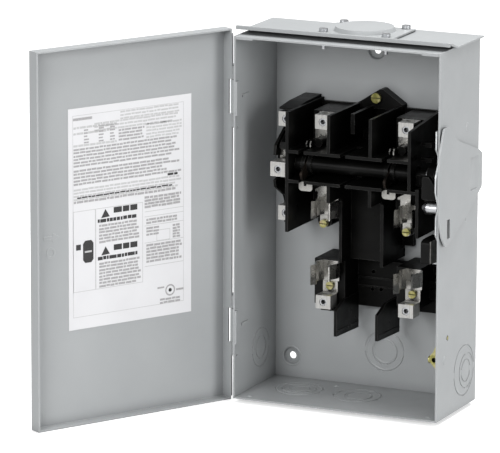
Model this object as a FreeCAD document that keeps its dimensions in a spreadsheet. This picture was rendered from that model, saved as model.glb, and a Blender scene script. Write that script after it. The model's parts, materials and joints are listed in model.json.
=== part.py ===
import FreeCAD, Part
import math
import os
import re
import Sketcher

# Fusible two-pole disconnect switch in a rainproof sheet-metal box, with the door open and the switch off.
# Parts are laid out in box coordinates, in millimetres: X from the centre line, Y from the back panel's
# rear face (the door side is negative) and Z up from the bottom. Each finished part is then shifted so
# that the origin is the centre of the top mounting hole, in the plane of the building's wall.

doc = FreeCAD.newDocument("DisconnectBox")
V = FreeCAD.Vector

DIMS = {
    "box_width": 217,
    "box_depth": 100,
    "box_height": 365,
    "sheet": 1.6,
    "standoff": 3,
    "hang_height": 341,
    "foot_height": 23,
    "foot_spacing": 178.6,
    "mount_radius": 3.55,
    "gap": 0.2,
    "door_open": 120,
    "door_flange": 13,
    "door_left": -111.9,
    "door_right": 113.9,
    "door_bottom": -3.6,
    "door_top": 368.4,
    "door_face": -103,
    "hinge_x": -113.5,
    "hinge_y": -89,
    "upper_hinge": 301.4,
    "lower_hinge": 72,
    "pin_radius": 1.2,
    "axis_y": -68,
    "axis_z": 236.5,
    "off_angle": 60,
    "shaft_radius": 6,
    "rotor_radius": 7,
    "running": 0.05,
    "left_pole": -28,
    "pole_pitch": 88,
    "barrier": 3,
    "barrier_front": -88,
    "base_back": -1.7,
    "base_top": 287.5,
    "shelf_upper": 250,
    "shelf_lower": 223.5,
    "jaw_offset": -14,
    "line_lug_z": 278.7,
    "load_lug_z": 98.2,
    "upper_clip_z": 192.1,
    "lower_clip_z": 127.2,
    "clip_offset": 1.5,
    "neutral_x": -68,
}

sheet = doc.addObject("Spreadsheet::Sheet", "Dims")
for row, (alias, value) in enumerate(DIMS.items(), start=1):
    sheet.set(f"A{row}", alias)
    sheet.set(f"B{row}", str(value))
    sheet.setAlias(f"B{row}", alias)
doc.recompute()

WORD = re.compile(r"[a-z_]+")
NODES = []


def bound(text):
    """Expression text with each driving dimension's name pointed at the spreadsheet."""
    return WORD.sub(lambda m: "Dims." + m.group() if m.group() in DIMS else m.group(), str(text))


def bind(obj, **props):
    """Sets each property, binding it to the spreadsheet; a double underscore stands for a dot."""
    for prop, value in props.items():
        obj.setExpression(prop.replace("__", "."), bound(value))


def less(high, low):
    return f"({high}) - ({low})"


def block(x, y, z):
    """A box between two limits on each axis."""
    solid = doc.addObject("Part::Box", "Block")
    bind(solid, Length=less(x[1], x[0]), Width=less(y[1], y[0]), Height=less(z[1], z[0]))
    bind(solid, Placement__Base__x=x[0], Placement__Base__y=y[0], Placement__Base__z=z[0])
    return solid


TURNS = {
    "x": FreeCAD.Rotation(V(0, 1, 0), 90),
    "y": FreeCAD.Rotation(V(1, 0, 0), -90),
    "z": FreeCAD.Rotation(),
}


def rod(axis, at, radius, length):
    """A cylinder that starts at a point and runs in the axis's positive direction."""
    solid = doc.addObject("Part::Cylinder", "Rod")
    solid.Placement = FreeCAD.Placement(V(), TURNS[axis])
    bind(solid, Radius=radius, Height=length)
    bind(solid, Placement__Base__x=at[0], Placement__Base__y=at[1], Placement__Base__z=at[2])
    return solid


def cone(axis, at, radius, end_radius, length):
    solid = doc.addObject("Part::Cone", "Taper")
    solid.Placement = FreeCAD.Placement(V(), TURNS[axis])
    bind(solid, Radius1=radius, Radius2=end_radius, Height=length)
    bind(solid, Placement__Base__x=at[0], Placement__Base__y=at[1], Placement__Base__z=at[2])
    return solid


def fuse(*solids):
    joined = doc.addObject("Part::MultiFuse", "Joined")
    joined.Shapes = list(solids)
    joined.Refine = True
    return joined


def cut(base, *tools):
    made = doc.addObject("Part::Cut", "Cut")
    made.Base = base
    made.Tool = tools[0] if len(tools) == 1 else group(*tools)
    return made


def common(*solids):
    shared = doc.addObject("Part::MultiCommon", "Shared")
    shared.Shapes = list(solids)
    return shared


def group(*solids):
    """Separate solids kept in one object."""
    made = doc.addObject("Part::Compound", "Group")
    made.Links = list(solids)
    return made


PLANES = {"z": "XY_Plane", "y": "XZ_Plane", "x": "YZ_Plane"}


def prism(axis, outline, start, length, rounds=None):
    """A padded sketch. The outline's points are the two other axes' positions, in X, Y, Z order.
    rounds gives the radius of any corner that is rounded, by its place in the outline."""
    body = doc.addObject("PartDesign::Body", "Body")
    sketch = body.newObject("Sketcher::SketchObject", "Outline")
    plane = next(f for f in body.Origin.OriginFeatures if f.Role == PLANES[axis])
    sketch.AttachmentSupport = [(plane, "")]
    sketch.MapMode = "FlatFace"
    count = len(outline)
    corners = [V(measure(point[0]), measure(point[1]), 0) for point in outline]
    sketch.addGeometry([Part.LineSegment(corners[i], corners[(i + 1) % count]) for i in range(count)])
    for i, point in enumerate(outline):
        sketch.addConstraint(Sketcher.Constraint("Coincident", i, 2, (i + 1) % count, 1))
        for kind, value, axis_line in (("DistanceX", point[0], -2), ("DistanceY", point[1], -1)):
            if abs(measure(value)) < 1e-9:
                sketch.addConstraint(Sketcher.Constraint("PointOnObject", i, 1, axis_line))
                continue
            index = sketch.addConstraint(Sketcher.Constraint(kind, -1, 1, i, 1, measure(value)))
            if isinstance(value, str):
                sketch.setExpression(f"Constraints[{index}]", bound(value))
    pad = body.newObject("PartDesign::Pad", "Pad")
    pad.Profile = sketch
    pad.Reversed = axis == "y"
    bind(pad, Length=length)
    for radius in sorted(set((rounds or {}).values())):
        round_corners(body, axis, [corners[i] for i, r in rounds.items() if r == radius], radius)
    bind(body, **{f"Placement__Base__{axis}": start})
    return body


def round_corners(body, axis, corners, radius):
    """Fillets the pad's edges that stand on the given sketch corners."""
    doc.recompute()
    base = body.Tip
    drop = "xyz".index(axis)
    names = []
    for number, edge in enumerate(base.Shape.Edges, start=1):
        flat = [[c for i, c in enumerate(v.Point) if i != drop] for v in edge.Vertexes]
        for corner in corners:
            if len(flat) == 2 and all(math.dist(point, corner[:2]) < 1e-4 for point in flat):
                names.append(f"Edge{number}")
    fillet = body.newObject("PartDesign::Fillet", "Round")
    fillet.Base = (base, names)
    fillet.Radius = radius


def measure(text):
    """The present value of a dimension expression."""
    if isinstance(text, (int, float)):
        return float(text)
    value = sheet.evalExpression(bound(text))
    return float(getattr(value, "Value", value))


def node(label, solid, base=(0, 0, 0), turn=None):
    """Names a finished part and shifts it from box coordinates to the part's own frame."""
    part = doc.addObject("Part::Compound", "Node")
    part.Links = [solid]
    part.Label = label
    bind(part, Placement__Base__x=base[0])
    bind(part, Placement__Base__y=f"{base[1]} - standoff")
    bind(part, Placement__Base__z=f"{base[2]} - hang_height")
    if turn:
        part.setExpression("Placement.Rotation.Angle", bound(turn))
    NODES.append(part)
    return part


# Enclosure

PLATE_RIVETS = (280, 190)
PIN_AT = (-84.5, 208.7)

HALF = "box_width / 2"
INSIDE = "box_width / 2 - sheet"
WALL_TOP = "box_height - sheet"


def pressed_ring(axis, at, diameter, tie_axis):
    """The sheared ring of a knockout: a groove in both faces of the sheet, with two uncut ties."""
    half_width, reach, tie, web = 0.6, 4, 5, 0.5
    start = [f"{at[i]} - {reach}" if name == axis else at[i] for i, name in enumerate("xyz")]
    ring = cut(rod(axis, start, diameter / 2 + half_width, 2 * reach),
               rod(axis, start, diameter / 2 - half_width, 2 * reach))
    spans = {name: (f"{c} - {diameter}", f"{c} + {diameter}") for name, c in zip("xyz", at)}
    across = next(name for name in "xyz" if name not in (axis, tie_axis))
    ties, middle = dict(spans), dict(spans)
    ties[across] = tuple(f"{at['xyz'.index(across)]} {sign} {tie / 2}" for sign in "-+")
    middle[axis] = tuple(f"{at['xyz'.index(axis)]} {sign} {web / 2}" for sign in "-+")
    return cut(ring, *[block(part["x"], part["y"], part["z"]) for part in (ties, middle)])


def knockout(axis, *rings):
    """The rings of one knockout, each a centre and a diameter, with ties on alternate axes."""
    others = [letter for letter in "xyz" if letter != axis]
    return [pressed_ring(axis, centre, diameter, others[i % 2])
            for i, (centre, diameter) in enumerate(rings)]


def mounting_holes():
    return [("-foot_spacing / 2", "foot_height"), ("foot_spacing / 2", "foot_height"), (0, "hang_height")]


def enclosure_shell():
    back = block((f"-{HALF}", HALF), ("-sheet", 0), (0, WALL_TOP))
    left = block((f"-{HALF}", f"-({INSIDE})"), ("-box_depth", "-sheet"), (0, WALL_TOP))
    right = block((INSIDE, HALF), ("-box_depth", "-sheet"), (0, WALL_TOP))
    dish, drop, bump = 10.5, 2.2, 0.8
    dishes = [cone("y", (x, 0, z), dish, dish - drop, "standoff") for x, z in mounting_holes()]
    rivet_head = cone("x", (HALF, -81.2, 58.2), 4.6, 3.4, bump)
    tools = []
    for x, z in mounting_holes():
        tools.append(cone("y", (x, "-sheet - 0.01", z), dish - 0.4, dish - drop - 0.8, "standoff"))
        tools.append(rod("y", (x, "-sheet", z), "mount_radius", "standoff + sheet + 1"))
    side, rear = "box_width / 2 - sheet / 2", "-sheet / 2"
    tools += knockout("y", ((11.9, rear, 39.2), 42), ((12.4, rear, 38.7), 27))
    tools += knockout("x", ((side, -31, 36.9), 50.4), ((side, -25.1, 35.5), 35),
                      ((side, -26.4, 35.7), 22.2))
    tools += knockout("x", ((f"-({side})", -38, 38.5), 40), ((f"-({side})", -38, 38.5), 23))
    for z in ("upper_hinge", "lower_hinge"):
        tools.append(block((f"-{HALF} - 1", f"-({INSIDE}) + 1"), (-97.4, -95.4),
                           (f"{z} - 17", f"{z} + 17")))
        tools.append(rod("x", (f"-{HALF} - 1", -95, f"{z} - 29"), 1.6, 6))
        tools.append(rod("x", (f"-{HALF} - 1", -77, z), 1.7, 6))
    through = f"{INSIDE} - 2"
    tools.append(rod("x", (through, "axis_y", "axis_z"), "shaft_radius + 1.5", 6))
    tools.append(rod("x", (through, *GROUND_FIXING), 2.6, 6))
    for z in PLATE_RIVETS:
        tools.append(rod("x", (through, -30, z), 2.1, 6))
    return cut(fuse(back, left, right, rivet_head, *dishes), *tools)


def top_endwall():
    """The flat top pan: its front edge is the sill of the opening, thicker at the two corners."""
    low = "box_height - 3.6"
    left, right = f"-({INSIDE}) + gap", f"{INSIDE} - gap"
    pan = block((left, right), ("-box_depth", "-sheet - gap"), (low, f"{low} + sheet"))
    corners = [block(x, ("-box_depth", "9 - box_depth"), (f"{low} - 1.2", low))
               for x in ((left, -89), (89, right))]
    screws = [rod("z", (x, y, "box_height - 8"), 2.2, 12) for x, y in hub_screw_places()]
    return cut(fuse(pan, *corners), rod("z", (3, -38, "box_height - 8"), 22, 12), *screws)


def rain_hood():
    """The top sheet, flat under the hub and flared up to a lip that shields the door's top edge."""
    s, low, high, lip = "sheet", f"{WALL_TOP}", "box_height + 4.6", -87
    outline = [
        ("-gap", f"{low} + 0.05"), (-66, f"{low} + 0.05"), (f"{lip} + sheet", high),
        (f"{lip} + sheet", f"{high} - 2"), (lip, f"{high} - 2"), (lip, f"{high} + {s}"),
        (f"{lip} + 3", f"{high} + {s}"), (-66, "box_height + 0.05"), ("-gap", "box_height + 0.05"),
    ]
    sheet_metal = prism("x", outline, f"-{HALF} - 4", "box_width + 8")
    screws = [rod("z", (x, y, "box_height - 6"), 2.2, 12) for x, y in hub_screw_places()]
    return cut(sheet_metal, rod("z", (3, -38, "box_height - 8"), 22, 12), *screws)


def hub_screw_places():
    return [(3 + i * 33, -38 + j * 25) for i in (-1, 1) for j in (-1, 1)]


def hub_gasket():
    top = "box_height + 0.05"
    pad = block((-38, 44), (-65.8, -8), (top, f"{top} + 1"))
    tools = [rod("z", (x, y, "box_height - 1"), 2.2, 4) for x, y in hub_screw_places()]
    return cut(pad, rod("z", (3, -38, "box_height - 1"), 22, 4), *tools)


def hub_cover():
    """A square plate with a pressed round crown that closes the conduit hub opening."""
    top = "box_height + 1.05"
    plate = block((-39, 45), (-65.5, -10.5), (top, f"{top} + 1.6"))
    crown = cone("z", (3, -38, f"{top} + 1.6"), 30.5, 28.5, 4.2)
    hollow = cone("z", (3, -38, f"{top} - 0.01"), 24.6, 22.6, 4.2)
    tools = [rod("z", (x, y, "box_height - 1"), 2.2, 6) for x, y in hub_screw_places()]
    return cut(fuse(plate, crown), hollow, *tools)


def hub_cover_screws():
    screws = []
    top = "box_height + 2.7"
    for x, y in hub_screw_places():
        shank = rod("z", (x, y, f"{top} - 17"), 2, 17)
        head = rod("z", (x, y, top), 4.3, 3.4)
        slot = block((x - 5, x + 5), (y - 0.5, y + 0.5), (f"{top} + 2.2", f"{top} + 4"))
        screws.append(cut(fuse(shank, head), slot))
    return group(*screws)


def bottom_endwall():
    low, dimple = 0.1, 0.8
    floor = block((f"-({INSIDE}) + gap", f"{INSIDE} - gap"), ("-box_depth", "-sheet - gap"),
                  (low, f"{low} + sheet"))
    dimples = [cone("z", (x, y, f"{low} + sheet"), 2.6, 1.6, dimple)
               for x, y in ((-94.6, -90.6), (95.4, -89.4), (-33, -17.5))]
    middle = f"{low} + sheet / 2"
    tools = knockout("z", ((0.8, -43, middle), 48), ((2, -43, middle), 28))
    tools += knockout("z", ((-62, -43, middle), 48), ((-62, -43, middle), 35), ((-62, -43, middle), 22))
    return cut(fuse(floor, *dimples), *tools)


def hinge_leaf(z):
    """Box side of a hinge: a plate on the wall, a web out to the pin, the knuckle, and a flap that goes
    through the wall's slot and is folded against its inner face."""
    low, span = f"{z} - 16.8", 33.6
    plate = block((-110.2, f"-{HALF}"), (-97.2, -70), (low, f"{low} + {span}"))
    tongue = block((f"-{HALF}", f"-({INSIDE}) + 1.7"), (-97.2, -95.6), (low, f"{low} + {span}"))
    flap = block((f"-({INSIDE}) + 0.1", f"-({INSIDE}) + 1.7"), (-99.8, -93.6), (low, f"{low} + {span}"))
    web = block(("hinge_x", -110.2), ("hinge_y + 1.6", "hinge_y + 3"), (low, f"{low} + {span}"))
    knuckle = rod("z", ("hinge_x", "hinge_y", low), 3, span)
    tools = [rod("z", ("hinge_x", "hinge_y", f"{low} - 1"), "pin_radius + 0.02", span + 2)]
    tools.append(rod("x", (-112, -77, z), 1.7, 6))
    return cut(fuse(plate, tongue, flap, web, knuckle), *tools)


def hinge_pin(z):
    shaft = rod("z", ("hinge_x", "hinge_y", f"{z} - 31"), "pin_radius", 62)
    head = rod("z", ("hinge_x", "hinge_y", f"{z} + 31"), 1.5, 1.4)
    return fuse(shaft, head)


def hinge_rivet(z):
    """A rivet with a low round head outside and a tail clenched flat inside."""
    head = cone("x", (-111.4, -77, z), 1.6, 2.6, 1.2)
    shank = rod("x", (-110.4, -77, z), 1.65, 4)
    tail = block((f"-({INSIDE})", f"-({INSIDE}) + 1"), (-84, -68.5), (f"{z} - 1.3", f"{z} + 1.3"))
    return fuse(head, shank, tail)


GROUND_FIXING = (-74, 79)
GROUND_CLAMP = (-82, 58)


def ground_lug():
    """Cast ground terminal on the inside of the right wall, swelling round its conductor hole."""
    inner = f"{INSIDE} - gap"
    plate = block((f"{inner} - 1.6", inner), (-94, -62), (50, 87))
    swell = [(0, 86), (-1.6, 86), (-3.6, 74), (-6, 68), (-9.4, 64), (-10.2, 60), (-8, 56), (-4, 52),
             (-1.6, 50), (0, 50)]
    body = prism("x", [(-91, 50), (-70, 50), (-70, 86), (-91, 86)], f"{inner} - 10.2", 10.2)
    profile = prism("y", [(f"{inner} + ({x})", z) for x, z in swell], -91, 21, {2: 3, 4: 3, 5: 3, 6: 2})
    conductor = rod("y", (f"{inner} - 5.2", -96, 60), 2.4, 30)
    tools = [rod("x", (f"{inner} - 12", y, z), 1.9, 14) for y, z in (GROUND_FIXING, GROUND_CLAMP)]
    return cut(fuse(plate, common(body, profile)), conductor, *tools)


def ground_screws():
    inner = f"{INSIDE} - gap"
    fixing = fuse(rod("x", (f"{inner} - 4", *GROUND_FIXING), 1.85, 6),
                  rod("x", (f"{inner} - 6.4", *GROUND_FIXING), 4.2, 2.4))
    clamp = fuse(rod("x", (f"{inner} - 11", *GROUND_CLAMP), 1.85, 5),
                 rod("x", (f"{inner} - 13.7", *GROUND_CLAMP), 3.6, 3.4))
    return group(fixing, clamp)


# Switch

POLES = ("left_pole", "left_pole + pole_pitch")
SIDES = ("left", "right")
FIRST_SLOT = "left_pole + jaw_offset"
SLOT_PLACES = (FIRST_SLOT, f"{FIRST_SLOT} + pole_pitch / 2", f"{FIRST_SLOT} + pole_pitch")


def tall_wall(x, outline):
    """A moulded barrier, one wall thick, standing across the base."""
    return prism("x", outline, x, "barrier")


def line_base():
    """Moulded base of the line side: back plate, screw ear, barriers and the trough the rotor turns in."""
    back, front = "base_back", "barrier_front"
    top, shelf = "base_top + 3", 3
    solids = [block((-58.5, 82), (f"{back} - 4", back), (178, "base_top"))]
    ear = [(-13, 286), (33, 286), (33, 291.5), (12, 305.5), (9, 305.5), (-13, 291)]
    solids.append(prism("y", ear, f"{back} - 12", 12, {3: 2, 4: 2}))
    solids.append(tall_wall(-58.5, [(back, 171), (front, 171), (front, top), (back, top)]))
    notched = [
        (back, 138), (-57, 138), (-57, 200), (-62, 204), (front, 204), (front, "shelf_lower"),
        (-47, "shelf_lower"), (-47, "shelf_upper"), (front, "shelf_upper"), (front, top), (back, top),
    ]
    solids += [tall_wall(x, notched) for x in (-14.5, 29.5)]
    solids.append(tall_wall(70.5, [(back, 221), (front, 221), (front, 282), (back, top)]))
    low_wall = [(back, 178), (front, 178), (front, 226), (-40, 226), (-40, 232), (back, 232)]
    solids.append(tall_wall(79, low_wall))
    solids.append(block((-57, 72), (front, back), ("shelf_upper", f"shelf_upper + {shelf}")))
    solids.append(block((-57, 81), (front, back), (f"shelf_lower - {shelf}", "shelf_lower")))
    solids.append(block((-57, 72), (-40, -37), ("shelf_lower", "shelf_upper")))
    solids.append(block((-13, 31), (-34, -31), (138, "shelf_lower")))
    solids.append(block((-26, 44), (f"{back} - 6", back), (150, 180)))
    solids.append(block((-1.5, 2.5), (-60, back), (268.6, 288.4)))
    for z in (250.9, 265.8):
        solids.append(block((73, 85.4), (-62, -58), (f"{z} - 1", f"{z} + 1")))
        solids.append(block((80, 85.9), (-66, -54), (f"{z} - 2", f"{z} + 2")))
    for pole in POLES:
        solids.append(block((f"{pole} - 19", f"{pole} + 12"), (-46, back), ("shelf_upper", 286)))
        solids.append(block((f"{pole} - 19", f"{pole} + 14"), (-46, back), (179, "shelf_lower")))
        solids.append(rod("y", (f"{pole} - 6.5", -46, 176.7), 7.5, f"{back} + 46"))
        solids.append(rod("y", (f"{pole} - 7", -62, 257), 4.2, 17))
        slot = f"{pole} + jaw_offset"
        solids.append(block((f"{slot} - 6.5", f"{slot} + 6.5"), (-76, -47.5), (212, 221)))
    tools = [rod("x", (65, "axis_y", "axis_z"), "rotor_radius + 1.5", 30)]
    for x in SLOT_PLACES:
        tools.append(block((f"{x} - 3", f"{x} + 3"), (f"{front} - 1", -45),
                           ("shelf_lower - 4", "shelf_upper + 4")))
    for pole in POLES:
        slot = f"{pole} + jaw_offset"
        tools.append(block((f"{slot} - 3", f"{slot} + 3"), (-77, -47), (211, 221)))
        tools.append(rod("y", (f"{pole} - 6.5", -50, 173.7), 2.25, 12))
    tools.append(rod("y", (6, -16, 296.7), 2.6, 16))
    return cut(fuse(*solids), *tools)


def load_base():
    """Moulded base of the load side, with a raised block for each pole and a wing between them."""
    back = "base_back"
    solids = [block((-48, 84), (-13, back), (86, 133))]
    for pole, right, low in zip(POLES, (15.5, 7.4), (92, 97.5)):
        solids.append(block((f"{pole} - 17", f"{pole} + {right}"), (-46, back), (low, 137.5)))
    solids.append(block(("left_pole - 13", "left_pole + 9"), (-40, back), (84, 96)))
    wing = [(-13.5, 63.7), (-68, 65.9), (-68, 91.8), (-46, 100), (back, 100), (back, 86), (-13.5, 86)]
    ridge = [(-14.5, 67.7), (-66, 69.7), (-66, 71.7), (-14.5, 69.7)]
    for x in (-14.5, 29.5):
        solids.append(tall_wall(x, wing))
        solids.append(prism("x", ridge, f"{x} - 0.6", 4.2))
    for z in (105.8, 114.5):
        solids.append(block((-12, 30), (-14.2, -12), (z, z + 1.4)))
    solids.append(block((46, 84), (-22, back), (102, 120)))
    tools = [rod("y", (x, -15, z), 1.9, 9) for x, z in ((3.8, 121.4), (2.7, 103.6), (12.2, 104.1))]
    tools.append(rod("y", (69.7, -23, 112.4), 1.9, 9))
    tools += [rod("y", (f"{pole} + 0.7", -50, 112.1), 2.25, 12) for pole in POLES]
    return cut(fuse(*solids), *tools)


def slotted_screw(at, radius, head_radius, head, length):
    """A screw driven in from the front: at is the point under the head."""
    x, y, z = at
    shank = rod("y", (x, y, z), radius, length)
    cap = rod("y", (x, f"{y} - {head}", z), head_radius, head)
    slot = block((f"{x} - {head_radius}", f"{x} + {head_radius}"),
                 (f"{y} - {head} - 1", f"{y} - {head * 0.5}"), (f"{z} - 0.5", f"{z} + 0.5"))
    return cut(fuse(shank, cap), slot)


def base_screw():
    """Holds the moulded base to the back panel through the ear."""
    return slotted_screw((6, "base_back - 12", 296.7), 2.5, 5, 3.2, 12)


def lug(x, y_front, depth, z, width, height):
    """A box lug: a body with a wire way up through it and a clamping screw hole in front."""
    body = block((f"{x} - {width / 2}", f"{x} + {width / 2}"), (y_front, f"{y_front} + {depth}"),
                 (f"{z} - {height / 2}", f"{z} + {height / 2}"))
    way = rod("z", (x, f"{y_front} + {depth} - 7", f"{z} - 9"), 5, 18)
    hole = rod("y", (x, f"{y_front} - 1", z), 4.1, depth - 7)
    return cut(body, way, hole)


def socket_screw(x, y_front, z):
    """A lug's clamping screw with a hexagonal socket."""
    length, across = 6, 4.8
    body = rod("y", (x, f"{y_front} + 0.8", z), 4, length)
    corner = across / math.sqrt(3)
    angles = [math.radians(60 * i) for i in range(6)]
    outline = [(f"{x} + {corner * math.cos(a):.3f}", f"{z} + {corner * math.sin(a):.3f}") for a in angles]
    return cut(body, prism("y", outline, f"{y_front} + 0.5", 4.8))


def finger_pair(x, outline):
    """Two spring fingers that grip a switch blade."""
    near, far = 1.45, 2.65
    return [prism("x", outline, f"{x} + {start}", far - near) for start in (-far, near)]


def line_terminal(pole):
    """The lug's strap with the line-side jaw standing on its left edge."""
    x = f"{pole} + jaw_offset"
    outline = [(-47.4, 253.8), (-70, 253.8), (-70.6, 256.6), (-68.6, 259.6), (-47.4, 258.4)]
    strap = block((f"{pole} - 12.4", f"{pole} + 4.5"), (-47.4, -46), (253.2, 285.5))
    foot = block((f"{x} - 2.65", f"{x} + 4"), (-47.4, -46), (253.2, 267))
    hole = rod("y", (f"{pole} - 7", -50, 257), 4.3, 6)
    return cut(fuse(strap, foot, *finger_pair(x, outline)), hole)


def load_terminal(pole):
    """The load-side jaw, closed at the front by a slotted plate, and the strap down to the fuse clip."""
    x = f"{pole} + jaw_offset"
    outline = [(-47.4, 213), (-77, 213), (-77, 219.4), (-47.4, 219.4)]
    left, right, low, high = f"{x} - 6.6", f"{x} + 7.6", 211.3, 220.4
    plate = prism("y", [(left, low), (right, low), (right, high), (left, high)], -77.6, 1.4, {0: 3.2, 1: 3.2})
    mouth = block((f"{x} - 1.45", f"{x} + 1.45"), (-78, -76), (216.2, 221))
    strap = block((f"{pole} - 13.6", f"{pole} - 3"), (-47.4, -46), (183, 219.4))
    end = [(f"{pole} - 11", 169.4), (f"{pole} - 2", 169.4), (f"{pole} - 3", 184), (f"{pole} - 11", 184)]
    tongue = prism("y", end, -47.4, 1.4, {0: 4, 1: 4})
    foot = block((f"{x} - 2.65", f"{x} + 2.65"), (-47.4, -46), (205, 219.4))
    hole = rod("y", (f"{pole} - 6.5", -50, 173.7), 2.3, 6)
    return cut(fuse(cut(plate, mouth), foot, strap, tongue, *finger_pair(x, outline)), hole)


HALF_CLIP = [
    (8, -47.4), (11.6, -53), (11.9, -60), (7.2, -69.6), (10.2, -75.6), (9.4, -76.4),
    (5.9, -69.7), (10.7, -60), (10.4, -53.5), (7.4, -48.6),
]


def clip(pole, z, width):
    """A fuse clip bent from strip: two sprung leaves on a flat foot."""
    centre = f"{pole} + clip_offset"
    half = [(f"{centre} + {x}", y) for x, y in HALF_CLIP]
    mirror = [(f"{centre} - {x}", y) for x, y in reversed(HALF_CLIP)]
    rounds = {1: 2, 2: 7, 3: 2, 6: 2, 7: 6, 12: 6, 13: 2, 16: 2, 17: 7, 18: 2}
    return prism("z", half + mirror, f"{z} - {width / 2}", width, rounds)


def upper_fuse_clip(pole):
    return clip(pole, "upper_clip_z", 17.6)


def lower_fuse_clip(pole):
    """The lower clip's foot runs down past its screw, its right leaf is cut back to clear the screw, and a
    narrow tongue carries the load lug."""
    left, right, low = f"{pole} - 7.4", f"{pole} + 8.3", 103.4
    foot = prism("y", [(left, low), (right, low), (right, 137), (left, 137)], -47.4, 1.4, {0: 3, 1: 3})
    tongue = block((f"{pole} - 3", f"{pole} + 3"), (-47.4, -46), (92, 104))
    hole = rod("y", (f"{pole} + 0.7", -50, 112.1), 2.3, 6)
    cut_back = block((f"{pole} + 6.5", f"{pole} + 15"), (-78, -48.8), (116, 122.5))
    return cut(fuse(clip(pole, "lower_clip_z", 20), foot, tongue), hole, cut_back)


def fuse_clip_screws():
    screws = []
    for pole in POLES:
        for x, z in ((f"{pole} - 6.5", 173.7), (f"{pole} + 0.7", 112.1)):
            screws.append(slotted_screw((x, "-47.45", z), 2.2, 3.9, 3.2, 8))
    return group(*screws)


def neutral_carrier():
    """Moulded stand of the neutral bar, with a canopy over the top lug and a rib that bows out round the
    middle one."""
    back, left = "base_back", -76
    stand = [(back, 172), (-50, 172), (-50, 205), (-66, 222), (-66, 243), (-50, 262), (-50, 288), (back, 288)]
    body = prism("x", stand, left, 15.5, {1: 3})
    bow = [(back, 172), (-51.4, 172), (-51.4, 193), (-55, 200), (-76, 212), (-78, 219), (-67.5, 221.6),
           (-67.5, 243), (-78, 244), (-76, 254), (-51.4, 269.5), (-50, 288), (back, 288)]
    rib = prism("x", bow, left, 2.6, {4: 3, 9: 3})
    shoulder = prism("x", [(-50, 250), (-72, 250), (-70, 256), (-50, 268)], left + 4, 11.5)
    roof = [(-64, 287.5), (back, 287.5), (back, 293), (-40, 292), (-64, 289.5)]
    canopy = prism("x", roof, left, 17.3)
    return fuse(body, rib, shoulder, canopy)


def neutral_bar():
    """The bar behind the lugs, bent out to the middle one."""
    outline = [
        (-50.05, 174), (-51.65, 174), (-51.65, 205.7), (-67.65, 222.7), (-67.65, 242.3), (-66.4, 248.4),
        (-66.05, 248.4), (-66.05, 222), (-50.05, 205),
    ]
    left, width = -73.2, 12
    low = prism("x", outline, left, width)
    high = block((left, left + width), (-51.65, -50.05), (270.5, 286))
    return fuse(low, high)


NEUTRAL_LUGS = ((-66, 14.3, 278.5), (-85, 17.3, 232), (-66, 14.3, 184.5))


def neutral_lugs():
    return group(*[lug("neutral_x", front, depth, z, 15.6, 14.4) for front, depth, z in NEUTRAL_LUGS])


def neutral_lug_screws():
    return group(*[socket_screw("neutral_x", front, z) for front, depth, z in NEUTRAL_LUGS])


# Operating mechanism

def rotor_bar():
    """Moulded bar that carries the blades, with a collar for each one."""
    bar = rod("x", (-54.5, "axis_y", "axis_z"), "rotor_radius", 124)
    poles = (SLOT_PLACES[0], SLOT_PLACES[2])
    collars = [rod("x", (f"{x} - 5", "axis_y", "axis_z"), "rotor_radius + 2", 10) for x in poles]
    blade_ways = [block((f"{x} - 1.25", f"{x} + 1.25"), ("axis_y - 20", "axis_y + 20"),
                        ("axis_z - 20", "axis_z + 20")) for x in poles]
    return cut(fuse(bar, *collars), *blade_ways)


def switch_blades():
    """Two copper blades through the rotor, leaning back off the jaws when the switch is off."""
    blades = []
    reach, width = 21.5, 11
    for x in (SLOT_PLACES[0], SLOT_PLACES[2]):
        shape = [(-width / 2, -reach), (width / 2, -reach), (width / 2, reach), (-width / 2, reach)]
        blade = prism("x", shape, -1.2, 2.4, {0: 4, 1: 4, 2: 4, 3: 4})
        placed = doc.addObject("Part::Compound", "Blade")
        placed.Links = [blade]
        placed.Placement = FreeCAD.Placement(V(), FreeCAD.Rotation(V(1, 0, 0), 0))
        bind(placed, Placement__Rotation__Angle="-off_angle")
        bind(placed, Placement__Base__x=x, Placement__Base__y="axis_y", Placement__Base__z="axis_z")
        blades.append(placed)
    return group(*blades)


def rotor_journal():
    """Moulded end of the rotor, with the lobe that stops it and the socket for the handle shaft."""
    shaft = rod("x", (69.5, "axis_y", "axis_z"), 5.5, 13.8)
    lobe = block((74, 78.6), ("axis_y - 7", "axis_y + 6"), ("axis_z - 9.9", "axis_z + 1"))
    return fuse(shaft, lobe)


def handle_plate():
    """The lever plate that stands just off the box's right side, with a padlock slot and a finger scoop."""
    start, thick = f"{HALF} + 1.9", 1.7
    outline = [
        (-97, 290), (-86, 290), (-70, 277), (-58, 270.5), (-32, 262), (-7, 253.5), (1, 249), (1, 215.5),
        (-22, 203), (-38.5, 193.5), (-56, 187), (-74, 178.5), (-91, 172.5), (-100.6, 184.5), (-106.5, 201),
        (-109.5, 220), (-109.5, 250), (-105.5, 270),
    ]
    rounds = {0: 3, 1: 4, 3: 30, 6: 4, 7: 5, 12: 3, 13: 20, 14: 40, 15: 40, 16: 40, 17: 40}
    plate = prism("x", outline, start, thick, rounds)
    bend, depth = 55.7, 1.2
    scoop = rod("z", (f"{start} + {thick} + {bend} - {depth}", -20.5, 216), bend, 33)
    slot = block((f"{start} - 1", f"{start} + 3"), (-87, -80.5), (180, 199))
    return cut(plate, scoop, slot)


def handle_shaft():
    """Steel shaft through the side wall, fixed to the lever plate, with a groove for its retaining ring."""
    shaft = rod("x", (83.6, "axis_y", "axis_z"), "shaft_radius", f"{HALF} + 1.9 - 83.6")
    groove = cut(rod("x", (104.3, "axis_y", "axis_z"), 8, 1.05),
                 rod("x", (104, "axis_y", "axis_z"), 4.8, 2))
    return cut(shaft, groove)


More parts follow.
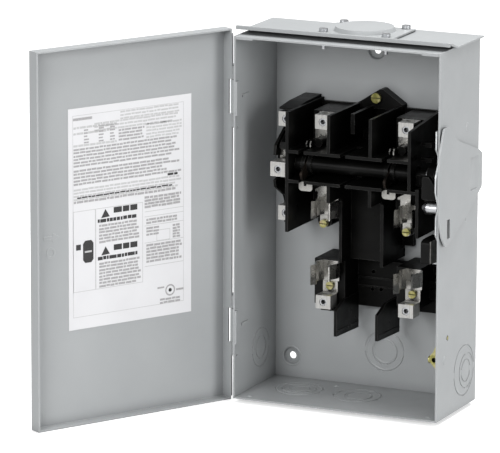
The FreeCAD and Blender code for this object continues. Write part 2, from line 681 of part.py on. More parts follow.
def drive_crank():
    """Moulded arm fixed on the handle shaft, with a guard plate in front; its pin drives the rotor through
    the snap spring."""
    arm = [(-81, 239), (-75, 246), (-66, 249), (-57, 243), (-56, 233), (-64, 226), (-71, 204), (-77, 201.5),
           (-83, 202), (-83, 216)]
    body = prism("x", arm, 86.5, 8, {1: 5, 2: 6, 3: 6, 4: 6, 5: 6, 6: 4})
    shield = [(85, 216.5), (100.3, 216.5), (100.3, 228), (92, 239), (85, 239)]
    guard = prism("y", shield, -87, 6.5, {0: 2, 4: 2})
    bore = rod("x", (80, "axis_y", "axis_z"), "shaft_radius + 0.02", 20)
    seat = rod("x", (80, *PIN_AT), 5.02, 24)
    return cut(fuse(body, guard), bore, seat)


def crank_pin():
    """Steel roller pin with a domed tip and a groove."""
    tip = cone("x", (85.2, *PIN_AT), 2, 4.8, 3.7)
    neck = rod("x", (88.8, *PIN_AT), 3.8, 1.7)
    body = rod("x", (90.4, *PIN_AT), 5, 11)
    return fuse(tip, neck, body)


def retaining_ring():
    """A C-shaped ring in the shaft's groove, against the bearing."""
    ring = cut(rod("x", (104.35, "axis_y", "axis_z"), 8.5, 0.9),
               rod("x", (104, "axis_y", "axis_z"), 4.85, 2))
    opening = block((104, 106), ("axis_y - 2.5", "axis_y + 2.5"), ("axis_z", "axis_z + 10"))
    return cut(ring, opening)


def shaft_bushing():
    """Moulded bearing in the side wall's hole, held by its flange."""
    sleeve = rod("x", (105.4, "axis_y", "axis_z"), "shaft_radius + 1.4", 3.1)
    flange = rod("x", (105.35, "axis_y", "axis_z"), 11, 1.5)
    bore = rod("x", (100, "axis_y", "axis_z"), "shaft_radius + running", 12)
    return cut(fuse(sleeve, flange), bore)


def mechanism_plate():
    """Galvanised plate inside the right wall that carries the shaft and the door interlock."""
    front = [(-92, 150), (-92, 178), (-97.5, 185), (-97.5, 203), (-93, 209), (-93, 214), (-99.3, 227),
             (-99.3, 243), (-93, 254), (-93, 262), (-98.5, 269), (-98.5, 287)]
    rear = [(-20, 287), (-12, 262), (-12, 190), (-40, 160), (-40, 150)]
    plate = prism("x", front + rear, 103.6, 1.6, {6: 10, 7: 10, 12: 6, 13: 6, 14: 8, 15: 8})
    shelf = block((87, 105.2), (-70, -40), (150, 151.6))
    stand = [rod("x", (105.2, -30, z), 5, f"{INSIDE} - 105.2") for z in PLATE_RIVETS]
    tools = [rod("x", (100, "axis_y", "axis_z"), 11.4, 8)]
    tools += [rod("x", (100, -30, z), 2.1, 8) for z in PLATE_RIVETS]
    return cut(fuse(plate, shelf, *stand), *tools)


def plate_rivets():
    """Two rivets, with flat outer heads that the lever passes over."""
    rivets = []
    for z in PLATE_RIVETS:
        shank = rod("x", (103.5, -30, z), 2.05, 5.3)
        inner = cone("x", (102.2, -30, z), 2.4, 4, 1.4)
        outer = cone("x", (HALF, -30, z), 4, 3.2, 0.55)
        rivets.append(fuse(shank, inner, outer))
    return group(*rivets)


def snap_spring():
    """Torsion spring round the handle shaft, between the crank and the mechanism plate."""
    wire, coil, pitch, turns = 0.8, 8.4, 1.75, 2.4
    helix = Part.makeHelix(pitch, pitch * turns, coil)
    circle = Part.makeCircle(wire, V(coil, 0, 0), V(0, 1, 0))
    shape = Part.Wire(helix.Edges).makePipeShell([Part.Wire(circle)], True, True)
    spring = doc.addObject("Part::Feature", "Coil")
    spring.Shape = shape
    spring.Placement = FreeCAD.Placement(V(), TURNS["x"])
    bind(spring, Placement__Base__x=95.4, Placement__Base__y="axis_y", Placement__Base__z="axis_z")
    return spring


def interlock_slider():
    """Moulded block behind the door's edge; pushed back by hand, it travels 5 mm on its own."""
    outline = [(-95, 155), (-60, 152.5), (-60, 176), (-66, 178.4), (-90, 178.4), (-95, 176)]
    body = prism("x", outline, 88, 9, {0: 2, 3: 3, 4: 2, 5: 2})
    pocket = rod("y", (92.5, -68, 161), 3, 12)
    return cut(body, pocket)


def interlock_plate():
    """Wear plate on the side of the interlock block."""
    return prism("x", [(-94, 156), (-61, 154), (-61, 175.5), (-67, 177.4), (-94, 177.4)], 97.05, 1.2)


# Door

def door_panel():
    """The pan-shaped door, laid out closed and measured from the hinge line."""
    left, right = "door_left - hinge_x", "door_right - hinge_x"
    low, high = "door_bottom", "door_top"
    face, rear = "door_face - hinge_y", "door_face - hinge_y + door_flange"
    outer = block((left, right), (face, rear), (low, high))
    inner = block((f"{left} + sheet", f"{right} - sheet"), (f"{face} + sheet", f"{rear} + 1"),
                  (f"{low} + sheet", f"{high} - sheet"))
    lip = block((left, f"{left} + sheet"), (f"{rear} - 1", f"{rear} + 2.3"), (f"{low} + 4", f"{high} - 4"))
    knuckles, tools = [], []
    for z in ("upper_hinge", "lower_hinge"):
        for start in (f"{z} - 30", f"{z} + 17.4"):
            knuckles.append(rod("z", (0, 0, start), 3, 12.6))
            tools.append(rod("z", (0, 0, f"{start} - 1"), "pin_radius + running", 15))
        tools.append(block((0.5, 3.4), (-4.2, 2), (f"{z} - 17.2", f"{z} + 17.2")))
    right_inner = f"{right} - sheet"
    lever_slot = block((f"{right_inner} - 4", right_inner), (f"{face} - 1", f"{face} + 3"), (183, 290))
    return cut(fuse(cut(outer, inner), lip, *knuckles, *door_marks(f"{face} + sheet")), lever_slot, *tools)


def door_marks(inside):
    """An arrow and a ring pressed into the door beside the handle, barely raised on the inside."""
    edge, relief = "door_right - hinge_x", 0.35
    head = [(-32, 184), (-24, 188.5), (-24, 185.5), (-14, 185.5), (-14, 182.5), (-24, 182.5), (-24, 179.5)]
    arrow = prism("y", [(f"{edge} + ({x})", z) for x, z in head], inside, relief)
    ring = cut(rod("y", (f"{edge} - 22", inside, 169), 5.2, relief),
               rod("y", (f"{edge} - 22", f"{inside} - 1", 169), 3.6, 5))
    return [arrow, ring]


def door_label():
    """The printed paper label on the door's inside."""
    y = "door_face - hinge_y + sheet + 0.05"
    return block((42, 185), (y, f"{y} + 0.3"), (89, 307))


def build():
    fixed = {
        "enclosure_shell": enclosure_shell, "top_endwall": top_endwall, "bottom_endwall": bottom_endwall,
        "rain_hood": rain_hood, "hub_gasket": hub_gasket, "hub_cover": hub_cover,
        "hub_cover_screws": hub_cover_screws, "ground_lug": ground_lug, "ground_screws": ground_screws,
        "line_base": line_base, "load_base": load_base, "base_screw": base_screw,
        "fuse_clip_screws": fuse_clip_screws,
        "neutral_carrier": neutral_carrier, "neutral_bar": neutral_bar,
        "neutral_lugs": neutral_lugs, "neutral_lug_screws": neutral_lug_screws,
        "mechanism_plate": mechanism_plate, "plate_rivets": plate_rivets, "shaft_bushing": shaft_bushing,
        "snap_spring": snap_spring, "interlock_slider": interlock_slider,
        "interlock_plate": interlock_plate, "rotor_bar": rotor_bar,
        "switch_blades": switch_blades, "rotor_journal": rotor_journal, "handle_plate": handle_plate,
        "handle_shaft": handle_shaft, "drive_crank": drive_crank, "crank_pin": crank_pin,
        "retaining_ring": retaining_ring,
    }
    for label, make in fixed.items():
        node(label, make())
    for name, z in (("upper", "upper_hinge"), ("lower", "lower_hinge")):
        node(f"{name}_hinge_leaf", hinge_leaf(z))
        node(f"{name}_hinge_pin", hinge_pin(z))
    node("hinge_rivets", group(hinge_rivet("upper_hinge"), hinge_rivet("lower_hinge")))
    for side, pole in zip(SIDES, POLES):
        node(f"{side}_line_terminal", line_terminal(pole))
        node(f"{side}_load_terminal", load_terminal(pole))
        node(f"{side}_upper_fuse_clip", upper_fuse_clip(pole))
        node(f"{side}_lower_fuse_clip", lower_fuse_clip(pole))
        node(f"{side}_line_lug", lug(f"{pole} - 1", -66, 18.5, "line_lug_z", 15.6, 14.2))
        node(f"{side}_load_lug", lug(pole, -64, 16.5, "load_lug_z", 15.6, 13.2))
    node("line_lug_screws", group(*[socket_screw(f"{pole} - 1", -66, "line_lug_z") for pole in POLES]))
    node("load_lug_screws", group(*[socket_screw(pole, -64, "load_lug_z") for pole in POLES]))
    door = {"door_panel": door_panel, "door_label": door_label}
    for label, make in door.items():
        node(label, make(), ("hinge_x", "hinge_y", 0), "-door_open")


def check():
    """Stops on any failed object or bad shape, before anything is written."""
    doc.recompute()
    bad = [o.Name for o in doc.Objects if {"Invalid", "Error"} & set(o.State)]
    bad += [p.Label for p in NODES if p.Shape.isNull() or not p.Shape.isValid() or not p.Shape.Solids]
    if bad:
        raise SystemExit(f"not built: {bad}")


build()
check()
os.makedirs("parts", exist_ok=True)
for part in NODES:
    part.Shape.exportStep(os.path.join("parts", part.Label + ".step"))
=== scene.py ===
"""Looks of an AC disconnect box: materials, printed label, small formed details, light and camera."""

import json
import math
import random

import bmesh
import bpy
from mathutils import Matrix, Vector


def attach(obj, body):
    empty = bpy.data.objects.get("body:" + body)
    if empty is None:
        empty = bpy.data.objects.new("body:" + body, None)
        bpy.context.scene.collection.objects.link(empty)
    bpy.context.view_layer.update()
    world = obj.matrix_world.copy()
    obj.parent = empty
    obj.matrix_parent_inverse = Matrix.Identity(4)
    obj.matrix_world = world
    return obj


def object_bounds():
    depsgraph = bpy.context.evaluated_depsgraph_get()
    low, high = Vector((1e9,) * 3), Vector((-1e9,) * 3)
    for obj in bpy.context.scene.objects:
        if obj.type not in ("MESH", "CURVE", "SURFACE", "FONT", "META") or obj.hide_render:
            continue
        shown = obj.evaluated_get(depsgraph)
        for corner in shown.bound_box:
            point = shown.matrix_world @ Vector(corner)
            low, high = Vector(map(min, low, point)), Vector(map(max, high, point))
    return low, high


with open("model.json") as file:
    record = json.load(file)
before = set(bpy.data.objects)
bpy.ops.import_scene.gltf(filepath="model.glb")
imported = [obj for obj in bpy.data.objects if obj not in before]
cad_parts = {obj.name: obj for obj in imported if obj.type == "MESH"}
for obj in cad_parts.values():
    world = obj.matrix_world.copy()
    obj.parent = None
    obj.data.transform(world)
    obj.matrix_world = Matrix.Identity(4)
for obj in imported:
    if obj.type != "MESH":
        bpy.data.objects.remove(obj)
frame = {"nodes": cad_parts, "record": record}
CAD_BOX = [list(corner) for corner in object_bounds()]
NODES = frame["nodes"]
MM = 0.001


# Materials

class Shader:
    """A material's node tree, built one node at a time."""

    def __init__(self, name):
        self.material = bpy.data.materials.new(name)
        self.material.use_nodes = True
        self.tree = self.material.node_tree
        self.surface = self.tree.nodes["Principled BSDF"]
        self.place = self.add("ShaderNodeTexCoord").outputs["Object"]

    def add(self, kind, **settings):
        made = self.tree.nodes.new(kind)
        for name, value in settings.items():
            setattr(made, name, value)
        return made

    def link(self, source, target):
        self.tree.links.new(source, target)

    def stretched(self, scale):
        """The object's own coordinates, scaled separately on each axis."""
        mapping = self.add("ShaderNodeMapping")
        mapping.inputs["Scale"].default_value = scale
        self.link(self.place, mapping.inputs["Vector"])
        return mapping.outputs["Vector"]

    def noise(self, scale, detail=3.0, rough=0.5, place=None):
        made = self.add("ShaderNodeTexNoise")
        made.inputs["Scale"].default_value = scale
        made.inputs["Detail"].default_value = detail
        made.inputs["Roughness"].default_value = rough
        self.link(place or self.place, made.inputs["Vector"])
        return made.outputs["Fac"]

    def range(self, source, low, high, start=0.3, end=0.7):
        """Maps a texture's values onto a range."""
        made = self.add("ShaderNodeMapRange")
        for name, value in (("From Min", start), ("From Max", end), ("To Min", low), ("To Max", high)):
            made.inputs[name].default_value = value
        self.link(source, made.inputs["Value"])
        return made.outputs["Result"]

    def ramp(self, source, stops):
        """Colours along a texture's values; stops are (position, colour)."""
        made = self.add("ShaderNodeValToRGB")
        elements = made.color_ramp.elements
        while len(elements) < len(stops):
            elements.new(0.5)
        for element, (position, colour) in zip(elements, stops):
            element.position = position
            element.color = (*colour, 1)
        self.link(source, made.inputs["Fac"])
        return made.outputs["Color"]

    def mix(self, factor, first, second):
        made = self.add("ShaderNodeMix", data_type="RGBA", blend_type="MIX")
        for socket, value in ((made.inputs[0], factor), (made.inputs[6], first), (made.inputs[7], second)):
            if isinstance(value, (int, float)):
                socket.default_value = value
            elif isinstance(value, tuple):
                socket.default_value = (*value, 1)
            else:
                self.link(value, socket)
        return made.outputs[2]

    def edges(self, radius):
        """Near 1 on sharp edges and 0 on flats, from how far a bevelled normal turns."""
        bevel = self.add("ShaderNodeBevel", samples=4)
        bevel.inputs["Radius"].default_value = radius
        geometry = self.add("ShaderNodeNewGeometry")
        dot = self.add("ShaderNodeVectorMath", operation="DOT_PRODUCT")
        self.link(bevel.outputs["Normal"], dot.inputs[0])
        self.link(geometry.outputs["True Normal"], dot.inputs[1])
        return self.range(dot.outputs["Value"], 1, 0, 0.8, 0.995)

    def times(self, first, second):
        made = self.add("ShaderNodeMath", operation="MULTIPLY")
        self.link(first, made.inputs[0])
        self.link(second, made.inputs[1])
        return made.outputs[0]

    def corners(self, distance, strength):
        """Near 1 deep in corners and sockets and 0 in the open."""
        shade = self.add("ShaderNodeAmbientOcclusion", samples=8)
        shade.inputs["Distance"].default_value = distance
        return self.range(shade.outputs["AO"], strength, 0, 0.25, 0.85)

    def bump(self, height, depth, strength=1.0):
        made = self.add("ShaderNodeBump")
        made.inputs["Strength"].default_value = strength
        made.inputs["Distance"].default_value = depth
        self.link(height, made.inputs["Height"])
        self.link(made.outputs["Normal"], self.surface.inputs["Normal"])

    def set(self, **inputs):
        for name, value in inputs.items():
            socket = self.surface.inputs[name.replace("_", " ")]
            if hasattr(value, "links"):
                self.link(value, socket)
            elif isinstance(value, tuple):
                socket.default_value = (*value, 1)
            else:
                socket.default_value = value


def grey_paint():
    """Baked enamel: slight orange peel, painted shade in the corners, and lighter edges that are partly
    rubbed paint and partly a painted highlight.
    """
    s = Shader("grey_paint")
    blotches = s.noise(7, 4, 0.6)
    colour = s.ramp(blotches, [(0.3, (0.318, 0.331, 0.338)), (0.7, (0.352, 0.365, 0.371))])
    specks = s.range(s.noise(900, 2), 0.0, 0.12, 0.62, 0.72)
    colour = s.mix(specks, colour, (0.26, 0.27, 0.27))
    # painted shade: ambient occlusion mixes a dark grey into the corners and recesses
    colour = s.mix(s.corners(16 * MM, 0.55), colour, (0.11, 0.115, 0.12))
    # lighter edges: partly rubbed paint, partly a painted highlight
    worn_and_highlit_edges = s.mix(s.edges(0.5 * MM), colour, (0.52, 0.53, 0.535))
    s.set(Base_Color=worn_and_highlit_edges, Roughness=s.range(s.noise(40, 4), 0.30, 0.42), Specular_IOR_Level=0.5)
    s.bump(s.noise(650, 2, 0.4), 0.04 * MM, 0.6)
    return s.material


def black_moulding():
    """Moulded thermoset: near black, faint flow marks and pale edges that are a painted highlight."""
    s = Shader("black_moulding")
    flow = s.noise(28, 5, 0.65, s.stretched((1, 1, 2.4)))
    colour = s.ramp(flow, [(0.3, (0.0018, 0.0018, 0.0017)), (0.75, (0.0048, 0.0048, 0.0045))])
    # painted highlight: pale colour along the edges, broken up by noise; the same mask raises the specular
    # level there
    edge_highlight_mask = s.times(s.edges(0.4 * MM), s.range(s.noise(70, 3), 0.15, 1.0))
    pale_highlit_edges = s.mix(edge_highlight_mask, colour, (0.10, 0.10, 0.096))
    sheltered = s.range(s.corners(60 * MM, 1.0), 1, 0.12, 0, 1)
    shine = s.times(s.range(edge_highlight_mask, 0.14, 0.6, 0, 1), sheltered)
    s.set(Base_Color=pale_highlit_edges, Roughness=s.range(s.noise(60, 4), 0.26, 0.42), Specular_IOR_Level=shine)
    s.bump(s.noise(1100, 3, 0.6), 0.03 * MM, 0.6)
    return s.material


def tinned_copper():
    s = Shader("tinned_copper")
    rolled = s.noise(45, 4, 0.6, s.stretched((1, 1, 0.1)))
    colour = s.ramp(rolled, [(0.3, (0.36, 0.355, 0.335)), (0.7, (0.54, 0.53, 0.505))])
    # painted shade: ambient occlusion darkens the corners nearly to black
    colour = s.mix(s.corners(14 * MM, 1.0), colour, (0.02, 0.02, 0.018))
    # painted highlight: edges lightened towards white
    highlit_edges = s.mix(s.edges(0.3 * MM), colour, (0.68, 0.68, 0.66))
    s.set(Base_Color=highlit_edges, Metallic=1.0, Roughness=s.range(s.noise(90, 4), 0.18, 0.34))
    s.bump(rolled, 0.01 * MM, 0.4)
    return s.material


def aged_copper():
    s = Shader("aged_copper")
    mottle = s.noise(120, 4, 0.6)
    # painted shade: a shaded copy of copper, coloured nearly black for parts that sit in shadow
    colour = s.ramp(mottle, [(0.3, (0.006, 0.005, 0.004)), (0.7, (0.022, 0.015, 0.011))])
    s.set(Base_Color=colour, Metallic=0.8, Roughness=s.range(s.noise(200, 3), 0.45, 0.65))
    s.bump(mottle, 0.01 * MM, 0.4)
    return s.material


def lug_metal():
    s = Shader("lug_metal")
    drawn = s.noise(900, 2, 0.5, s.stretched((1, 1, 0.03)))
    colour = s.ramp(drawn, [(0.3, (0.42, 0.415, 0.40)), (0.7, (0.55, 0.545, 0.525))])
    # painted shade: ambient occlusion darkens the corners nearly to black
    colour = s.mix(s.corners(7 * MM, 1.0), colour, (0.015, 0.015, 0.014))
    # painted highlight: edges lightened towards white
    highlit_edges = s.mix(s.edges(0.35 * MM), colour, (0.85, 0.85, 0.83))
    s.set(Base_Color=highlit_edges, Metallic=0.75, Roughness=s.range(s.noise(120, 3), 0.3, 0.45))
    s.bump(drawn, 0.02 * MM, 0.5)
    return s.material


def zinc_steel():
    s = Shader("zinc_steel")
    stain = s.noise(180, 4, 0.6)
    colour = s.ramp(stain, [(0.3, (0.44, 0.45, 0.47)), (0.7, (0.62, 0.63, 0.64))])
    # painted shade: ambient occlusion darkens sockets and corners nearly to black
    colour = s.mix(s.corners(4 * MM, 1.0), colour, (0.008, 0.008, 0.008))
    s.set(Base_Color=colour, Metallic=0.9, Roughness=s.range(s.noise(300, 3), 0.24, 0.42))
    s.bump(s.noise(1500, 2), 0.02 * MM, 0.5)
    return s.material


def yellow_zinc():
    """Chromated zinc: straw yellow with green and pink bands."""
    s = Shader("yellow_zinc")
    hue = s.noise(95, 3, 0.6)
    colour = s.ramp(hue, [(0.3, (0.12, 0.14, 0.03)), (0.45, (0.30, 0.28, 0.09)), (0.58, (0.46, 0.43, 0.21)),
                          (0.72, (0.36, 0.25, 0.17))])
    # painted shade: ambient occlusion darkens the corners
    colour = s.mix(s.corners(6 * MM, 0.9), colour, (0.03, 0.03, 0.01))
    s.set(Base_Color=colour, Metallic=0.75, Roughness=s.range(s.noise(260, 3), 0.26, 0.42))
    s.bump(s.noise(1300, 2), 0.02 * MM, 0.5)
    return s.material


def galvanised():
    s = Shader("galvanised")
    spangle = s.add("ShaderNodeTexVoronoi", feature="F1")
    spangle.inputs["Scale"].default_value = 220
    s.link(s.place, spangle.inputs["Vector"])
    value = s.add("ShaderNodeSeparateColor")
    s.link(spangle.outputs["Color"], value.inputs["Color"])
    colour = s.ramp(value.outputs["Red"], [(0.0, (0.52, 0.54, 0.55)), (1.0, (0.66, 0.68, 0.69))])
    s.set(Base_Color=colour, Metallic=0.5, Roughness=s.range(value.outputs["Green"], 0.3, 0.48, 0, 1))
    s.bump(s.noise(700, 3), 0.02 * MM, 0.5)
    return s.material


def spring_steel():
    s = Shader("spring_steel")
    colour = s.ramp(s.noise(300, 3), [(0.3, (0.09, 0.088, 0.082)), (0.7, (0.20, 0.195, 0.185))])
    s.set(Base_Color=colour, Metallic=0.6, Roughness=s.range(s.noise(500, 3), 0.45, 0.6))
    s.bump(s.noise(2000, 2), 0.01 * MM, 0.5)
    return s.material


def gasket_rubber():
    s = Shader("gasket_rubber")
    colour = s.ramp(s.noise(500, 4), [(0.3, (0.012, 0.012, 0.012)), (0.7, (0.035, 0.035, 0.035))])
    s.set(Base_Color=colour, Roughness=s.range(s.noise(300, 3), 0.75, 0.92))
    s.bump(s.noise(1600, 4, 0.7), 0.08 * MM, 0.8)
    return s.material


def label_stock():
    s = Shader("label_stock")
    colour = s.ramp(s.noise(30, 4), [(0.3, (0.64, 0.64, 0.655)), (0.7, (0.67, 0.67, 0.685))])
    s.set(Base_Color=colour, Roughness=s.range(s.noise(200, 3), 0.42, 0.55))
    s.bump(s.noise(1800, 2), 0.01 * MM, 0.5)
    return s.material


def ink(name, dark, light):
    """Printed ink of one strength, slightly uneven."""
    s = Shader(name)
    colour = s.ramp(s.noise(800, 3), [(0.3, dark), (0.7, light)])
    s.set(Base_Color=colour, Roughness=s.range(s.noise(300, 3), 0.4, 0.55))
    s.bump(s.noise(2500, 2), 0.005 * MM, 0.4)
    return s.material


def floor_paper():
    """Back-lit white paper, so that only a faint contact shadow is left; it throws little light back."""
    s = Shader("floor_paper")
    seen = s.add("ShaderNodeLightPath").outputs["Is Camera Ray"]
    white = s.ramp(s.noise(3, 3), [(0.3, (0.84, 0.84, 0.84)), (0.7, (0.86, 0.86, 0.86))])
    s.set(Base_Color=s.mix(s.range(seen, 1, 0, 0, 1), white, (0.42, 0.42, 0.42)))
    s.set(Roughness=s.range(s.noise(50, 3), 0.6, 0.75))
    s.set(Emission_Color=(1.0, 1.0, 1.0), Emission_Strength=s.range(seen, 0.22, 0.5, 0, 1))
    return s.material


MAKERS = [
    grey_paint, black_moulding, tinned_copper, aged_copper, lug_metal, zinc_steel, yellow_zinc, galvanised,
    spring_steel, gasket_rubber, label_stock,
]
MATERIALS = {make.__name__: make() for make in MAKERS}


def dress_cad_nodes():
    """Each CAD node gets its record slot's material, and a small bevel that catches the light.

    The rivets of the mechanism plate are painted over with the wall."""
    softness = {"black_moulding": 0.5, "grey_paint": 0.35, "lug_metal": 0.45, "tinned_copper": 0.25}
    for entry in frame["record"]["subparts"]:
        node, slot = NODES[entry["node"]], entry["material_slot"]
        node.data.materials.clear()
        node.data.materials.append(MATERIALS["grey_paint" if entry["node"] == "plate_rivets" else slot])
        bevel = node.modifiers.new("soft_edges", "BEVEL")
        bevel.width = softness.get(slot, 0.2) * MM
        bevel.segments = 2
        bevel.limit_method = "ANGLE"
        bevel.angle_limit = math.radians(40)
        bevel.harden_normals = True


# Small formed and printed details

DOOR_OPEN = math.radians(120)
HINGE = (-113.5, -89)
LABEL_LEFT, LABEL_TOP, LABEL_FACE = 185, 307, -12.05    # on the inside of the closed door, from its hinge


def boxed(x, y, z):
    """A point in millimetres of the box's own layout, in the row frame."""
    return Vector((x, y - 3, z - 341)) * MM


def from_mesh(name, bm, body, material):
    mesh = bpy.data.meshes.new(name)
    bm.to_mesh(mesh)
    bm.free()
    made = bpy.data.objects.new(name, mesh)
    bpy.context.scene.collection.objects.link(made)
    mesh.materials.append(material)
    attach(made, body)
    return made


def bead(bm, centre, normal, radius, width, height):
    """A low rounded ring pressed into the sheet: centre is on the sheet's surface."""
    turns, steps = 72, 6
    normal = Vector(normal)
    side = Vector((0, 0, 1)) if abs(normal.z) < 0.5 else Vector((1, 0, 0))
    other = normal.cross(side)
    rings = []
    for i in range(turns):
        angle = 2 * math.pi * i / turns
        out = side * math.cos(angle) + other * math.sin(angle)
        row = []
        for j in range(steps + 1):
            part = j / steps
            rise = height * math.sin(math.pi * part) - 0.02
            point = Vector(centre) + out * (radius + (part - 0.5) * width) + normal * rise
            row.append(bm.verts.new(boxed(*point)))
        rings.append(row)
    for i in range(turns):
        here, after = rings[i], rings[(i + 1) % turns]
        for j in range(steps):
            bm.faces.new((here[j], after[j], after[j + 1], here[j + 1])).smooth = True


def pressed_beads():
    """The raised rims round the knockouts and the dished mounting holes."""
    back, left, right, floor = -1.6, -106.9, 108.5, 1.7    # faces of the sheet
    rims = [((x, back, z), (0, -1, 0), 9.6, 2.2, 0.5) for x, z in ((-89.3, 23), (89.3, 23), (0, 341))]
    rims += [((x, back, z), (0, -1, 0), d / 2 - 1.6, 2, 0.34)
             for x, z, d in ((11.9, 39.2, 42), (12.4, 38.7, 27))]
    rims += [((left, -38, 38.5), (1, 0, 0), d / 2 - 1.6, 2, 0.4) for d in (40, 23)]
    rims += [((right, y, z), (1, 0, 0), d / 2 - 1.6, 2, 0.3)
             for y, z, d in ((-31, 36.9, 50.4), (-25.1, 35.5, 35), (-26.4, 35.7, 22.2))]
    rims += [((x, -43, floor), (0, 0, 1), d / 2 - 1.6, 2, 0.4)
             for x, d in ((0.8, 48), (2, 28), (-62, 48), (-62, 35), (-62, 22))]
    bm = bmesh.new()
    for rim in rims:
        bead(bm, *rim)
    bmesh.ops.recalc_face_normals(bm, faces=bm.faces)
    from_mesh("pressed_beads", bm, "box", MATERIALS["grey_paint"])


class Print:
    """Flat shapes of one ink on the door's label, placed in millimetres from its top left corner."""

    def __init__(self, name, material, lift):
        self.name, self.material, self.lift = name, material, lift
        self.bm = bmesh.new()

    def shape(self, points):
        corners = []
        for across, down in points:
            x, y = LABEL_LEFT - across, LABEL_FACE + self.lift
            turned = (HINGE[0] + x * math.cos(DOOR_OPEN) + y * math.sin(DOOR_OPEN),
                      HINGE[1] - x * math.sin(DOOR_OPEN) + y * math.cos(DOOR_OPEN))
            corners.append(self.bm.verts.new(boxed(*turned, LABEL_TOP - down)))
        self.bm.faces.new(corners)

    def bar(self, left, top, width, height):
        self.shape([(left, top), (left, top + height), (left + width, top + height), (left + width, top)])

    def frame(self, left, top, width, height, line):
        self.bar(left, top, width, line)
        self.bar(left, top + height - line, width, line)
        self.bar(left, top + line, line, height - 2 * line)
        self.bar(left + width - line, top + line, line, height - 2 * line)

    def rows(self, left, top, width, height, pitch, thick, seed, ragged=0.1):
        """Stand-in lines of text: dashes of word length, with the last word of a row falling short."""
        words = random.Random(seed)
        down = top
        while down + thick <= top + height:
            across, end = left, left + width * (1 - ragged * words.random())
            while across < end - 1.5:
                length = min(words.uniform(2.2, 8.5), end - across)
                self.bar(across, down + words.uniform(-0.2, 0.2), length, thick + 0.2)
                across += length + words.uniform(0.5, 0.9)
            down += pitch

    def ring(self, across, down, radius, line):
        turns, inner = 28, radius - line
        angles = [2 * math.pi * i / turns for i in range(turns + 1)]
        rim = [(math.cos(angle), math.sin(angle)) for angle in angles]
        for (x0, y0), (x1, y1) in zip(rim, rim[1:]):
            self.shape([
                (across + radius * x0, down + radius * y0), (across + inner * x0, down + inner * y0),
                (across + inner * x1, down + inner * y1), (across + radius * x1, down + radius * y1),
            ])

    def done(self):
        bmesh.ops.recalc_face_normals(self.bm, faces=self.bm.faces)
        from_mesh(self.name, self.bm, "door", self.material)


def heading(dark, left, top, seed):
    """A solid triangle beside plain solid blocks, with a broken line of blocks below."""
    dark.shape([(left, top + 9), (left + 10, top + 8.4), (left + 5, top + 0.5)])
    for across, width in ((14.5, 9.5), (25.2, 7.4), (33.8, 8.2)):
        dark.bar(left + across, top, width, 5.6)
    dark.rows(left - 4, top + 10, 48, 3.5, 4, 3.2, seed + 1)


def label_print():
    """A wiring label's layout without any words: rows, cells, two headings of blocks and plain marks."""
    faint = Print("label_faint", ink("ink_faint", (0.43, 0.43, 0.435), (0.51, 0.51, 0.515)), 0.03)
    grey = Print("label_grey", ink("ink_grey", (0.29, 0.285, 0.29), (0.38, 0.375, 0.38)), 0.05)
    dark = Print("label_dark", ink("ink_dark", (0.010, 0.010, 0.010), (0.026, 0.025, 0.026)), 0.07)
    faint.frame(5, 7, 129, 199, 0.5)
    # the top of the label: a title, two small tables and the paragraphs
    grey.bar(5.5, 9.6, 22, 2.6)
    faint.rows(60, 8, 72, 9, 3.3, 1.5, 11)
    faint.rows(30, 16.5, 102, 9, 3.3, 1.6, 12)
    for down, start in ((18.4, 6), (24, 6), (36, 6)):
        faint.rows(start, down, 50, 2, 4, 1.9, 13 + int(down))
    for across in (18, 35, 48):
        grey.rows(across, 21.5, 6, 14, 3.1, 1.3, 20 + across)
    grey.rows(58, 26, 30, 14, 3.1, 1.7, 31)
    faint.rows(90, 24, 42, 15, 3.1, 1.6, 32)
    grey.rows(6, 39.5, 127, 20, 3.25, 1.7, 33)
    grey.rows(6, 60.5, 127, 16, 3.25, 1.8, 34, 0.25)
    dark.rows(115, 76, 13, 2, 4, 2, 35)
    faint.rows(6, 79, 127, 12, 3.2, 1.7, 36)
    grey.rows(6, 91, 127, 5, 4.2, 2.1, 37)
    dark.rows(10, 87.4, 118, 2, 4.2, 1.1, 38)
    # the middle column with its two headings
    faint.frame(5, 101, 26, 80, 0.6)
    faint.frame(31, 101, 55, 80, 0.6)
    heading(dark, 37.5, 102, 41)
    grey.rows(35, 117.5, 47, 18.5, 3.2, 1.9, 42)
    heading(dark, 37.5, 139, 43)
    grey.rows(35, 155, 49, 25, 3.2, 1.9, 44)
    # a plain dark lozenge crossed by a light band, with a short bar beside it
    dark.shape([
        (16.5, 134), (19, 131), (26, 131), (28.5, 134), (28.5, 150), (26, 153), (19, 153), (16.5, 150),
    ])
    dark.bar(8.5, 134, 5.5, 5.5)
    band = Print("label_band", faint.material, 0.09)
    band.bar(18.5, 141.2, 8, 1.8)
    # the right-hand column
    grey.rows(88, 96, 44, 12, 3.1, 2.1, 51)
    for down in (111, 116, 125, 142, 165.5):
        faint.bar(88, down, 46, 0.6)
    grey.rows(90, 118.4, 40, 6, 3.2, 1.9, 52)
    grey.rows(90, 127, 16, 9, 3.2, 1.8, 53)
    grey.rows(121, 127.5, 9, 14, 2.9, 1.9, 54)
    faint.frame(102, 131, 16, 11, 0.6)
    grey.rows(90, 144, 42, 21, 3.2, 2.0, 55)
    # the round mark
    grey.ring(118, 193, 5.8, 1.5)
    dark.ring(118, 193, 1.9, 1.85)
    grey.bar(103, 188.5, 8, 1.7)
    grey.bar(125, 192.5, 9, 2)
    grey.rows(106, 200.4, 26, 7, 3.2, 1.8, 56)
    for layer in (faint, grey, dark, band):
        layer.done()


# Stage

def lamp(name, at, target, size, power):
    """A white rectangular lamp turned towards a target."""
    data = bpy.data.lights.new(name, "AREA")
    data.shape = "RECTANGLE"
    data.size, data.size_y = size
    data.energy = power
    made = bpy.data.objects.new(name, data)
    bpy.context.scene.collection.objects.link(made)
    made.location = at
    made.rotation_mode = "QUATERNION"
    made.rotation_quaternion = (Vector(target) - Vector(at)).to_track_quat("-Z", "Y")


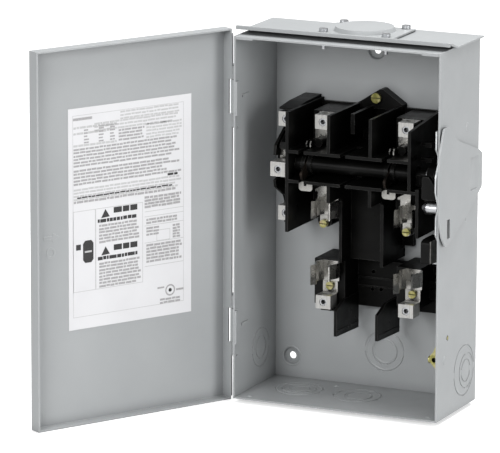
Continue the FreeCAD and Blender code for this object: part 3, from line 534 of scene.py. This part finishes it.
def white_world(strength):
    """Even white light, seen by the camera as pure white."""
    world = bpy.data.worlds.new("studio")
    world.use_nodes = True
    tree = world.node_tree
    background = tree.nodes["Background"]
    background.inputs["Color"].default_value = (1, 1, 1, 1)
    path = tree.nodes.new("ShaderNodeLightPath")
    level = tree.nodes.new("ShaderNodeMapRange")
    level.inputs["To Min"].default_value = strength
    level.inputs["To Max"].default_value = 1.05
    tree.links.new(path.outputs["Is Camera Ray"], level.inputs["Value"])
    tree.links.new(level.outputs["Result"], background.inputs["Strength"])
    bpy.context.scene.world = world


def light_and_floor():
    low = CAD_BOX[0][2]
    bpy.ops.mesh.primitive_plane_add(size=30, location=(0, 0, low - 0.5 * MM))
    floor = bpy.context.object
    floor.name = "floor"
    floor.data.materials.append(floor_paper())
    white_world(0.40)
    lamp("side", (2.7, -0.8, 0.35), (0, -0.15, -0.15), (0.9, 1.5), 36)
    lamp("front", (-0.35, -2.9, 0.95), (0, 0, -0.15), (1.4, 1.0), 50)
    lamp("top", (0.25, 0.4, 2.3), (0, 0, 0), (1.9, 1.9), 98)
    bpy.context.scene.view_settings.view_transform = "Standard"


def camera():
    """A long lens at the viewing angle, looking slightly down on the box."""
    place = Vector((1.8014, -4.2174, 0.8601))
    yaw, pitch, roll = 0.43101, -0.22269, 0.00363
    data = bpy.data.cameras.new("camera")
    data.lens, data.sensor_width = 342.3, 36
    data.clip_end = 60
    made = bpy.data.objects.new("camera", data)
    bpy.context.scene.collection.objects.link(made)
    ahead = Vector((-math.sin(yaw) * math.cos(pitch), math.cos(yaw) * math.cos(pitch), math.sin(pitch)))
    right = Vector((math.cos(yaw), math.sin(yaw), 0))
    up = right.cross(ahead)
    right, up = right * math.cos(roll) + up * math.sin(roll), up * math.cos(roll) - right * math.sin(roll)
    turn = Matrix((right, up, -ahead)).transposed()
    made.matrix_world = Matrix.Translation(place) @ turn.to_4x4()
    bpy.context.scene.camera = made


dress_cad_nodes()
pressed_beads()
label_print()
light_and_floor()
camera()
